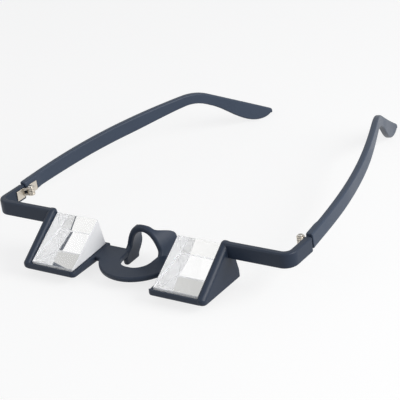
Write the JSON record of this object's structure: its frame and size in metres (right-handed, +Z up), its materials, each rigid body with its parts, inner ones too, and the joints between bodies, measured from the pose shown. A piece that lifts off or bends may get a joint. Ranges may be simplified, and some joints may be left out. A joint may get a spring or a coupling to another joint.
{
  "type": "belay glasses",
  "caption": "Spectacle frame with a mirror prism on a cradle before each eye, an arched nose saddle with pads and folding temples on small metal hinges",
  "frame": {"origin": "on the surface that the nose pads and temple tips rest on, under the middle of the bounding box", "axes": "+X to the wearer's left, +Y back towards the ears, +Z up"},
  "size_m": [0.136, 0.1646, 0.0242],
  "materials": {
    "front_plastic": "dark navy moulded plastic, satin",
    "temple_plastic": "dark navy moulded plastic, satin",
    "prism_glass": "clear polished optical glass with small ground bevels",
    "silver_coat": "silvered face with a thin backing",
    "hinge_metal": "warm nickel silver, satin",
    "screw_metal": "bright turned steel screw"
  },
  "bodies": {
    "front": {"front_frame": "front_plastic", "prism_left": "prism_glass", "prism_right": "prism_glass", "mirror_coat_left": "silver_coat", "mirror_coat_right": "silver_coat", "hinge_front_leaf_left": "hinge_metal", "hinge_front_leaf_right": "hinge_metal", "hinge_screw_left": "screw_metal", "hinge_screw_right": "screw_metal"},
    "left_temple": {"temple_left": "temple_plastic", "hinge_temple_leaf_left": "hinge_metal"},
    "right_temple": {"temple_right": "temple_plastic", "hinge_temple_leaf_right": "hinge_metal"}
  },
  "joints": [
    {"name": "left_temple_fold", "type": "hinge", "parent": "front", "child": "left_temple", "pos_m": [0.0628, -0.04799, 0.01661], "axis": [0, 0, 1], "range_deg": [0, 80]},
    {"name": "right_temple_fold", "type": "hinge", "parent": "front", "child": "right_temple", "pos_m": [-0.0628, -0.04799, 0.01661], "axis": [0, 0, -1], "range_deg": [0, 70]}
  ]
}
